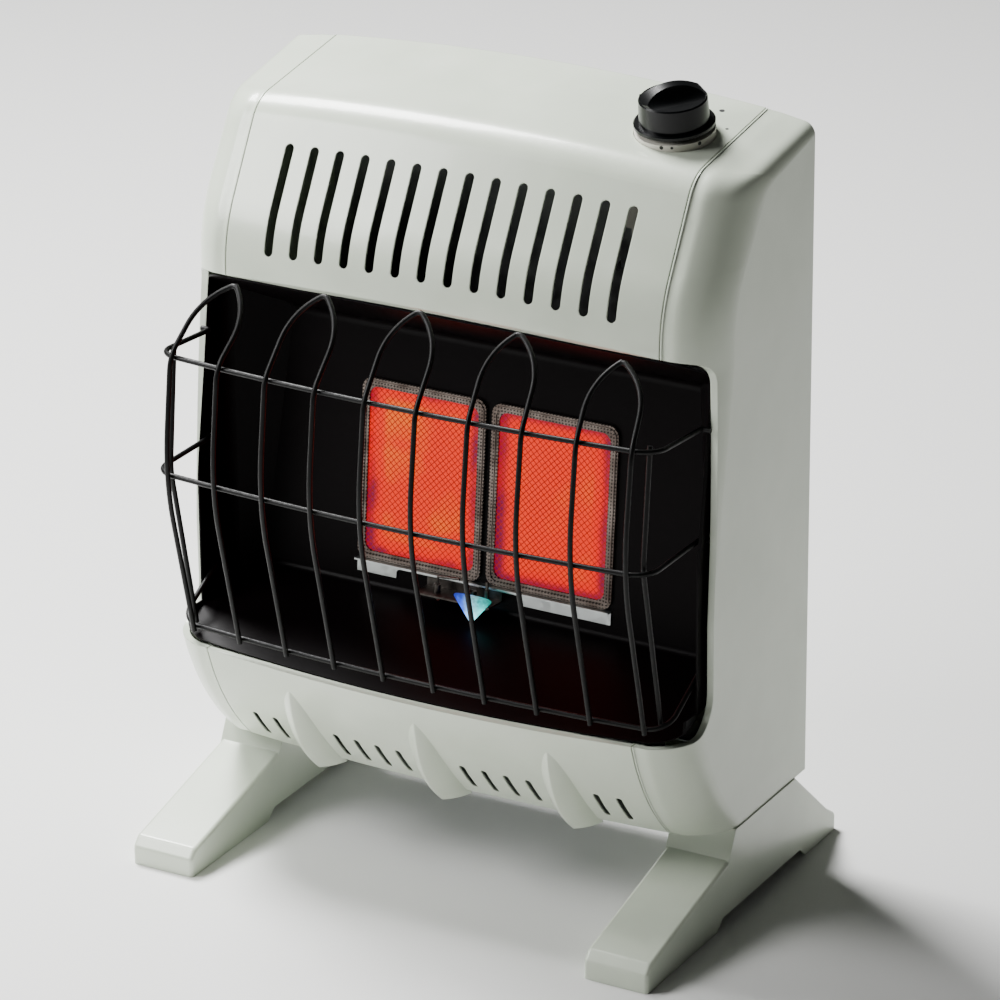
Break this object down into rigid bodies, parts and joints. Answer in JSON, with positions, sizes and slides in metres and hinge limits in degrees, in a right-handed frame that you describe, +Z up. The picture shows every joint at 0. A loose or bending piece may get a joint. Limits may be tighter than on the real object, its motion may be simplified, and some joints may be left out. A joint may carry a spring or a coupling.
{
  "type": "propane room heater",
  "caption": "Floor-standing infrared gas room heater with ceramic plaques behind a wire guard, a push-and-turn valve knob and a rear gas inlet.",
  "frame": {"origin": "on the floor, midway between the two feet and midway between their toes and heels", "axes": "+X to the right seen from the front, +Y to the back, +Z up"},
  "size_m": [0.426, 0.297, 0.6029],
  "materials": {
    "cream_enamel": "gloss",
    "black_enamel": "gloss",
    "black_wire": "satin",
    "knob_plastic": "gloss",
    "dial_plastic": "satin",
    "igniter_plastic": "satin",
    "plaque_ceramic": "matt",
    "stainless_mesh": "satin",
    "stainless_sheet": "satin",
    "zinc_sheet": "satin",
    "aluminised_steel": "satin",
    "zinc_fastener": "bright",
    "die_cast_alloy": "cast",
    "turned_brass": "turned",
    "drawn_tube": "satin",
    "igniter_rubber": "matt",
    "pilot_steel": "satin"
  },
  "bodies": {
    "heater": {"top_front_panel": "cream_enamel", "lower_front_panel": "cream_enamel", "left_end_cap": "cream_enamel", "right_end_cap": "cream_enamel", "back_panel": "cream_enamel", "left_foot": "cream_enamel", "right_foot": "cream_enamel", "firebox_liner": "black_enamel", "guard_uprights": "black_wire", "guard_side_wires": "black_wire", "guard_top_rail": "black_wire", "guard_middle_rail": "black_wire", "guard_bottom_rail": "black_wire", "dial_ring": "dial_plastic", "piezo_igniter": "igniter_plastic", "left_plaque": "plaque_ceramic", "right_plaque": "plaque_ceramic", "left_plaque_screen": "stainless_mesh", "right_plaque_screen": "stainless_mesh", "left_plaque_frame": "stainless_sheet", "right_plaque_frame": "stainless_sheet", "base_pan": "zinc_sheet", "heat_shield": "zinc_sheet", "valve_bracket": "zinc_sheet", "injector_bracket": "zinc_sheet", "regulator_bracket": "zinc_sheet", "burner_rail": "zinc_sheet", "pilot_bracket": "zinc_sheet", "burner_plenum": "aluminised_steel", "mixing_tube": "aluminised_steel", "casing_screws": "zinc_fastener", "foot_screws": "zinc_fastener", "foot_nuts": "zinc_fastener", "valve_nut": "zinc_fastener", "gas_valve": "die_cast_alloy", "regulator": "die_cast_alloy", "injector": "turned_brass", "inlet_fitting": "turned_brass", "supply_tube": "drawn_tube", "manifold_tube": "drawn_tube", "pilot_tube": "drawn_tube", "igniter_lead": "igniter_rubber", "pilot_burner": "pilot_steel", "thermocouple": "pilot_steel", "spark_electrode": "pilot_steel"},
    "plunger": {"valve_plunger": "turned_brass"},
    "knob": {"control_knob": "knob_plastic", "valve_stem": "turned_brass"}
  },
  "joints": [
    {"name": "knob_push", "type": "slide", "parent": "heater", "child": "plunger", "axis": [0, 0.1441, -0.9896], "range_m": [0, 0.003], "stiffness_N_per_m": 1500, "springref_m": -0.003},
    {"name": "knob_turn", "type": "hinge", "parent": "plunger", "child": "knob", "pos_m": [0.1348, 0.0357, 0.5652], "axis": [0, -0.1441, 0.9896], "range_deg": [-225, 0]}
  ]
}
